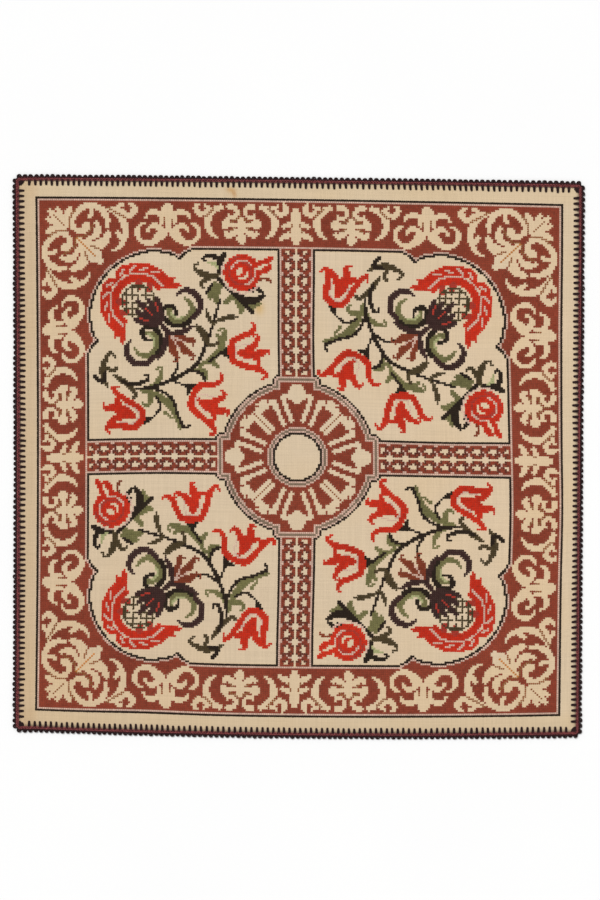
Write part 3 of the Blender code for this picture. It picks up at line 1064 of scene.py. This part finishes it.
PICOT_SQUARE = 0.75  # power that squares its loop's shoulders
PICOT_SPARE = 0.4  # mm, its loop's middle beyond the tips less the yarn's radius
PICOT_FLAT = 1.1  # times as tall as wide, the yarn of its loop
KNOT = np.array([-0.8, 1.2, 3.1])  # mm outward, stations of the knot in it
KNOT_WIDE = (1.4, 1.8, 1.2)  # mm
KNOT_TALL = (1.0, 1.1, 0.7)
SWAY = 0.006  # how unevenly a side's stitches are spaced
YARN_UNEVEN = 0.12  # how much one strand's colour differs from the next
LOOP_UNEVEN = 0.16
LOOP_LEAN = 0.9  # of a row's lean, that its loops take
LOOP_BOW = 0.1  # mm, how much loops, long stitches and picots differ
TOOTH_SWAY = 0.25
TOOTH_UNEVEN = 0.4
FAN_UNEVEN = 0.3
PICOT_SWAY = 0.3
PICOT_SPREAD = (0.06, 0.08)  # how much a picot's width and height differ
EDGING = {
    "dark": linear(38, 20, 20),
    "maroon": linear(128, 64, 64),
    "wine": linear(62, 27, 30),
    # shade is painted shade: the darkest colour, on the ridge's core and the picots' knots, which
    # the loops shade
    "shade": linear(30, 14, 15),
}


class Side:
    """One side of the edging, laid out along and outward from its middle."""

    def __init__(self, name):
        self.run, self.out = SIDES[name]
        upright = self.out[1] == 0
        self.half, self.reach = (EDGE_Y, EDGE_X) if upright else (EDGE_X, EDGE_Y)
        self.picots = PICOTS[name]
        self.pitch = 2 * self.half / self.picots
        self.rng = np.random.default_rng([SEED, self.picots, self.run[0] + 1, self.run[1] + 1])
        self.lull = self.rng.uniform(0, 2 * math.pi, 3)
        self.points, self.faces, self.tint, self.total = [], {}, [], 0

    def lane(self, q, depth):
        """Places and outward directions on a line at some depth from the tips.

        q is -1 to 1 from the middle of one rounded corner to that of the next.
        """
        q = np.asarray(q, float)
        bend = max(CORNER_R - depth, 0.0)
        straight = self.half - max(CORNER_R, depth)
        run = np.abs(q) * (straight + bend * math.pi / 4)
        turn = np.maximum(run - straight, 0) / bend if bend else np.zeros_like(run)
        s = np.minimum(run, straight) + bend * np.sin(turn)
        t = self.reach - depth - bend * (1 - np.cos(turn))
        return np.sign(q) * s, t, np.sign(q) * np.sin(turn), np.cos(turn)

    def spread(self, count, share=1.0):
        """count places from -share to share, a little unevenly worked."""
        q = ((np.arange(count) + 0.5) / count * 2 - 1) * share
        sway = sum(np.sin((k + 2) * math.pi * q + self.lull[k]) / (k + 2) for k in range(3))
        return q + SWAY * sway * (1 - (q / share) ** 2)

    def ropes(self, spots, along, out, up, wide, tall, sides, yarn, uneven=YARN_UNEVEN):
        """Strands that run through stations set out from each of the spots."""
        s, t, away_s, away_t = (np.atleast_1d(part)[:, None] for part in spots)
        path_s = s + along * away_t + out * away_s
        path_t = t - along * away_s + out * away_t
        count, stations = path_s.shape
        way_s, way_t = np.gradient(path_s, axis=1), np.gradient(path_t, axis=1)
        size = np.hypot(way_s, way_t)[..., None]
        turn = (np.arange(sides) + 0.5) * 2 * math.pi / sides
        beside = np.cos(turn) * np.array(wide)[:, None]
        above = np.sin(turn) * np.array(tall)[:, None]
        hoops = np.empty((count, stations, sides, 3))
        hoops[..., 0] = path_s[..., None] - way_t[..., None] / size * beside
        hoops[..., 1] = path_t[..., None] + way_s[..., None] / size * beside
        hoops[..., 2] = (up + 0 * path_s)[..., None] + above
        k = np.arange(sides)
        first = np.arange(stations - 1)[:, None] * sides
        skin = np.stack([first + k, first + np.roll(k, -1), first + np.roll(k, -1) + sides,
                         first + k + sides], -1).reshape(-1, 4)
        ends = np.stack([k[::-1], k + (stations - 1) * sides])
        base = self.total + stations * sides * np.arange(count)[:, None, None]
        for group in (skin, ends):
            corners = group.shape[1]
            self.faces.setdefault(corners, []).append((group + base).reshape(-1, corners))
        tone = 1 + self.rng.normal(0, uneven, (count, 1, 1))
        self.tint.append(np.repeat(EDGING[yarn] * tone, stations * sides, axis=1).reshape(-1, 3))
        self.points.append(hoops.reshape(-1, 3))
        self.total += hoops.size // 3

    def mesh(self, name, material):
        s, t, z = np.concatenate(self.points).T
        x = self.run[0] * s + self.out[0] * t
        y = self.run[1] * s + self.out[1] * t
        faces = [np.concatenate(group) for group in self.faces.values()]
        tint = np.clip(np.concatenate(self.tint), 0, 1)
        return mesh_object(name, placed(x, y, z), faces, tint, material)


def add_ridge(side):
    """The ridge: a rounded core in painted shade under three rows of small slanted loops."""
    q = np.linspace(-1, 1, CORE_STEPS * side.picots)
    s, t, _, _ = side.lane(q, PICOT + RIDGE / 2)
    flat = (np.zeros(1), np.zeros(1), np.zeros(1), np.ones(1))
    wide, tall = np.full(len(q), RIDGE / 2 + CORE_SPARE), np.full(len(q), CORE_Z)
    side.ropes(flat, s, t, CORE_Z, wide, tall, CORE_SIDES, "shade", 0)
    count = side.picots * LOOPS
    for depth, slant, wide, crest, yarn in LOOP_ROWS:
        turns = np.where(np.arange(count) % 2, 1, -1) if yarn == "maroon" else np.ones(count)
        lean = slant * turns
        bow = side.rng.normal(0, LOOP_BOW, (count, 1))
        along = LOOP_ENDS * (side.pitch / LOOPS * LOOP_REACH)
        out = LOOP_ENDS * lean[:, None] * LOOP_LEAN + bow
        up = crest - LOOP_DIP * np.abs(LOOP_ENDS)
        size = wide * LOOP_TAPER
        spots = side.lane(side.spread(count), depth)
        side.ropes(spots, along, out, up, size, size, LOOP_SIDES, yarn, LOOP_UNEVEN)


def add_teeth(side):
    """Long stitches over the linen, each of two strands side by side."""
    edge = side.half - PICOT - RIDGE
    share = 1 - FIRST_TOOTH / edge
    count = round(2 * (edge - FIRST_TOOTH) / side.pitch)
    spots = side.lane(side.spread(count, share), TOOTH_ROOT)
    sway = side.rng.normal(0, TOOTH_SWAY, (count, 1))
    reach = TOOTH_TIP - TOOTH_ROOT + side.rng.normal(0, TOOTH_UNEVEN, (count, 1))
    aside, swing, way, above, wide, tall = TOOTH
    for turn in (-1, 1):
        along = turn * aside + sway * swing
        out = TOOTH_START - reach * way
        side.ropes(spots, along, out, LINEN_T + above, wide, tall, YARN_SIDES, "dark")


def add_fan(side):
    """Stitches that fan out over the linen from the corner at a side's start."""
    corner = (TOOTH_ROOT - side.half, side.reach - TOOTH_ROOT, 0.0, 1.0)
    way, height, wide, tall = FAN_STITCH
    for k, degrees in enumerate(FAN):
        aim = math.radians(degrees)
        reach = (TOOTH_TIP - TOOTH_ROOT + side.rng.normal(0, FAN_UNEVEN)) * way
        along, out = reach * math.cos(aim), -reach * math.sin(aim)
        up = height + FAN_LIFT * (k % 2)
        side.ropes(corner, along, out, up, wide, tall, YARN_SIDES, "dark")


def add_picots(side):
    """Picots: a loop of yarn round a short knot coloured in painted shade, on the ridge's outer
    side.
    """
    spots = side.lane(side.spread(side.picots), PICOT_ROOT)
    count = side.picots
    turn = np.linspace(*PICOT_TURN) * math.pi
    wide_spread, tall_spread = PICOT_SPREAD
    wide = PICOT_WIDE * side.pitch * (1 + side.rng.normal(0, wide_spread, (count, 1)))
    tall = (PICOT_ROOT - YARN_R + PICOT_SPARE) * (1 + side.rng.normal(0, tall_spread, (count, 1)))
    sway = side.rng.normal(0, PICOT_SWAY, (count, 1))
    rise = np.sign(np.sin(turn)) * np.abs(np.sin(turn)) ** PICOT_SQUARE
    along = -np.sign(np.cos(turn)) * np.abs(np.cos(turn)) ** PICOT_SQUARE * wide + rise * sway
    size = np.full(len(turn), YARN_R)
    side.ropes(spots, along, rise * tall, CORE_Z, size, size * PICOT_FLAT, YARN_SIDES, "dark")
    side.ropes(spots, 0 * KNOT, KNOT, CORE_Z, KNOT_WIDE, KNOT_TALL, YARN_SIDES, "shade")


def make_edging(name, material):
    side = Side(name)
    add_ridge(side)
    add_teeth(side)
    add_fan(side)
    add_picots(side)
    return side.mesh("crochet_" + name, material)


# --- materials ---


class Nodes:
    """A short way to write a material's node tree."""

    def __init__(self, name):
        self.material = bpy.data.materials.new(name)
        self.material.use_nodes = True
        self.tree = self.material.node_tree
        self.shader = self.tree.nodes["Principled BSDF"]

    def put(self, value, socket):
        if isinstance(value, bpy.types.NodeSocket):
            self.tree.links.new(value, socket)
        else:
            socket.default_value = value

    def add(self, kind, outlet=0, settings=(), **inputs):
        node = self.tree.nodes.new("ShaderNode" + kind)
        for key, value in dict(settings).items():
            setattr(node, key, value)
        for key, value in inputs.items():
            spot = int(key[1:]) if key[0] == "i" and key[1:].isdigit() else key.replace("_", " ")
            self.put(value, node.inputs[spot])
        return node.outputs[outlet]

    def math(self, operation, first, second=0.0):
        return self.add("Math", settings={"operation": operation}, i0=first, i1=second)

    def ramp(self, value, low, high, to_low, to_high):
        return self.add("MapRange", i0=value, i1=low, i2=high, i3=to_low, i4=to_high)

    def noise(self, place, scale, detail=2.0):
        return self.add("TexNoise", Vector=place, Scale=scale, Detail=detail)

    def blend(self, share, first, second, kind="MIX"):
        settings = {"data_type": "RGBA", "blend_type": kind}
        return self.add("Mix", outlet=2, settings=settings, i0=share, i6=first, i7=second)

    def bump(self, height, distance, strength):
        return self.add("Bump", Height=height, Distance=distance, Strength=strength)

    def dyed(self, level):
        """The mesh's own tint, lightened or darkened by a level about 1."""
        tint = self.add("Attribute", settings={"attribute_name": "Tint"})
        grey = self.add("CombineColor", Red=level, Green=level, Blue=level)
        return self.blend(1.0, tint, grey, "MULTIPLY")

    def finish(self, **inputs):
        """The material, with these values or links on the shader's own sockets."""
        for key, value in inputs.items():
            self.put(value, self.shader.inputs[key.replace("_", " ")])
        return self.material


FIBRES = 1900.0  # patches of noise to a metre, about
TUFTS = 420.0
CLOUDS = 7.0
SLUB_LONG = 0.035  # slubs to a stitch along the thread,
SLUB_WIDE = 1.9  # and across it
FIBRE_DEPTH = 0.00035  # m, relief of the wool's fibres
THREAD_DEPTH = 0.00030  # m, and of the linen's threads
DULL = 0.12  # how little yarn mirrors
STITCH_WOOL = (0.86, 0.12, 0.06)  # roughness, unevenness of its colour, fuzz
CROCHET_WOOL = (0.84, 0.16, 0.08)
ROUGH_SPREAD = (-0.08, 0.06)  # how far fibres are smoother and rougher than that
FIBRE_SPAN = (0.3, 0.7)  # part of the fibres' noise that changes their colour
ROUGH_SPAN = (0.2, 0.8)  # and their roughness
# Ramps: noise or weave from and to, and what comes of it from and to.
WORN = (0.35, 0.75, 0.94, 1.07)
SLUB_LIGHT = (0.7, 1.3, 0.93, 1.06)
# painted shade: the linen's colour is darker down between its threads, where the weave is low
WEAVE_PAINTED_SHADE = (0.0, 1.0, 0.86, 1.05)
WEAVE_ROUGH = (0.0, 1.0, 0.92, 0.80)
CLOUD_AGE = (0.45, 0.75, 0.0, 0.6)
AGE_TINT = (1.0, 0.955, 0.86, 1.0)  # what is left of the linen's colour where it has aged
FLOOR_TINTS = ((0.86, 0.86, 0.86, 1.0), (0.88, 0.88, 0.875, 1.0))


def wool(name, rough, uneven, fuzz):
    """Wool yarn: heathered colour, fine fibres, a soft sheen at its edges."""
    n = Nodes(name)
    place = n.add("TexCoord", outlet=3)
    fibres = n.noise(place, FIBRES, 3.0)
    tufts = n.noise(place, TUFTS, 2.0)
    light = n.ramp(fibres, *FIBRE_SPAN, 1 - uneven, 1 + uneven)
    worn = n.ramp(tufts, *WORN)
    return n.finish(
        Base_Color=n.dyed(n.math("MULTIPLY", light, worn)),
        Roughness=n.ramp(fibres, *ROUGH_SPAN, *[rough + spread for spread in ROUGH_SPREAD]),
        Sheen_Weight=fuzz,
        Sheen_Roughness=0.5,
        Specular_IOR_Level=DULL,
        Normal=n.bump(fibres, FIBRE_DEPTH, 0.7),
    )


def linen():
    """Evenweave linen, two threads to a stitch each way, with slubs, age and painted shade between
    its threads.
    """
    n = Nodes("linen")
    place = n.add("TexCoord", outlet=3)
    layout = n.add("UVMap", settings={"uv_map": "Layout"})
    parts = n.tree.nodes.new("ShaderNodeSeparateXYZ")
    n.put(layout, parts.inputs[0])
    threads = []
    for outlet in parts.outputs[:2]:
        wave = n.math("SINE", n.math("MULTIPLY", outlet, 2 * math.pi))
        threads.append(n.math("ABSOLUTE", wave))
    over = n.add("TexChecker", outlet=1, Vector=layout, Scale=2.0)
    weave = n.add("Mix", i0=over, i2=threads[0], i3=threads[1])
    slubs = []
    for scale in ((SLUB_LONG, SLUB_WIDE, 1.0), (SLUB_WIDE, SLUB_LONG, 1.0)):
        slubs.append(n.noise(n.add("Mapping", Vector=layout, Scale=scale), 1.0, 1.0))
    slubs = n.math("ADD", *slubs)
    cloud = n.noise(place, CLOUDS, 4.0)
    # Slubs vary the linen's colour; the weave darkens it between threads, as painted shade.
    light = n.math("MULTIPLY", n.ramp(slubs, *SLUB_LIGHT), n.ramp(weave, *WEAVE_PAINTED_SHADE))
    cloth = n.dyed(light)
    old = n.blend(1.0, cloth, AGE_TINT, "MULTIPLY")
    return n.finish(
        Base_Color=n.blend(n.ramp(cloud, *CLOUD_AGE), cloth, old),
        Roughness=n.ramp(weave, *WEAVE_ROUGH),
        Sheen_Weight=0.05,
        Specular_IOR_Level=DULL,
        Normal=n.bump(n.math("ADD", weave, n.math("MULTIPLY", slubs, 0.6)), THREAD_DEPTH, 0.6),
    )


def paper():
    """Plain pale floor."""
    n = Nodes("floor")
    soft = n.noise(n.add("TexCoord", outlet=3), 3.0, 2.0)
    return n.finish(Base_Color=n.blend(soft, *FLOOR_TINTS), Roughness=0.9, Specular_IOR_Level=0.1)


# --- the object ---

MEDAL_REACH = 6  # stitches outside its field that belong to the medallion


def make_cover():
    """The linen and its stitches, one mesh for each field of the design."""
    chart, sprays = whole_chart()
    yarn = wool("stitch_wool", *STITCH_WOOL)
    rows, cols = np.indices(chart.shape)
    a, b = rows - MID, cols - MID
    x, y = b * STITCH_X, -a * STITCH_Y
    heights = surface(x, y)
    spray = np.any(sprays, axis=0)
    centre = np.hypot(a, b) <= MEDAL_R + MEDAL_REACH
    outside = np.maximum(np.abs(a), np.abs(b)) > MID - BORDER
    notch = ~outside & ~centre & ~spray & (np.minimum(np.abs(a), np.abs(b)) > BAND)
    rim = outside | notch
    level = np.abs(b) >= np.abs(a)
    fields = {"wool_medallion": centre & ~spray & ~rim}
    for name, part in (
        ("top", ~level & (a < 0)), ("bottom", ~level & (a > 0)),
        ("left", level & (b < 0)), ("right", level & (b >= 0)),
    ):
        fields["wool_border_" + name] = rim & part & ~spray
        fields["wool_band_" + name] = ~rim & ~centre & part & ~spray
    for name, part in zip(("upper_left", "upper_right", "lower_right", "lower_left"), sprays):
        fields["wool_spray_" + name] = part
    pieces = [make_stitches(name, chart, where, yarn, heights) for name, where in fields.items()]
    cloth = make_linen(chart, linen())
    return cloth, pieces


# --- floor, camera, lights ---

FLOOR_SIZE = 80.0  # m, wide enough to fill the low views as well
FLOOR_DROP = 0.0002  # m, under the cloth
CAMERA_LENS = 85.0  # mm
VIEW_HEIGHT = 1.44  # m, what the picture shows from bottom to top
SENSOR = 36.0  # mm, on the picture's long side
LOOK_AT = (0.0020, 0.0107)
SKY = 0.62  # even light from all round
KEY = 2.15  # watts to a square metre
KEY_FROM = (-0.55, 0.80, 1.15)
KEY_SPREAD = 24.0  # degrees, width of the soft box as the cloth sees it


def add_stage():
    bpy.ops.mesh.primitive_plane_add(size=FLOOR_SIZE, location=(0, 0, -FLOOR_DROP))
    floor = bpy.context.object
    floor.name = "floor"
    floor.data.materials.append(paper())
    return floor


def add_camera():
    data = bpy.data.cameras.new("camera")
    data.lens = CAMERA_LENS
    data.sensor_width = SENSOR
    camera = in_scene("camera", data)
    camera.location = (*LOOK_AT, VIEW_HEIGHT * CAMERA_LENS / SENSOR)
    bpy.context.scene.camera = camera


def add_lights():
    data = bpy.data.lights.new("key", "SUN")
    data.energy = KEY
    data.angle = math.radians(KEY_SPREAD)
    key = in_scene("key", data)
    key.location = KEY_FROM
    key.rotation_euler = key.location.to_track_quat("Z", "Y").to_euler()
    world = bpy.data.worlds.new("world")
    world.use_nodes = True
    background = world.node_tree.nodes["Background"]
    background.inputs["Color"].default_value = (1, 1, 1, 1)
    background.inputs["Strength"].default_value = SKY
    bpy.context.scene.world = world
    bpy.context.scene.view_settings.view_transform = "Standard"


def main():
    cloth, stitches = make_cover()
    crochet = wool("crochet_wool", *CROCHET_WOOL)
    floor = add_stage()
    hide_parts("cloth")
    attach(cloth, "root")
    for piece in stitches:
        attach(piece, "root")
    for side in SIDES:
        piece = make_edging(side, crochet)
        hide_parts("edging_" + side)
        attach(piece, "root")
    add_camera()
    add_lights()


main()
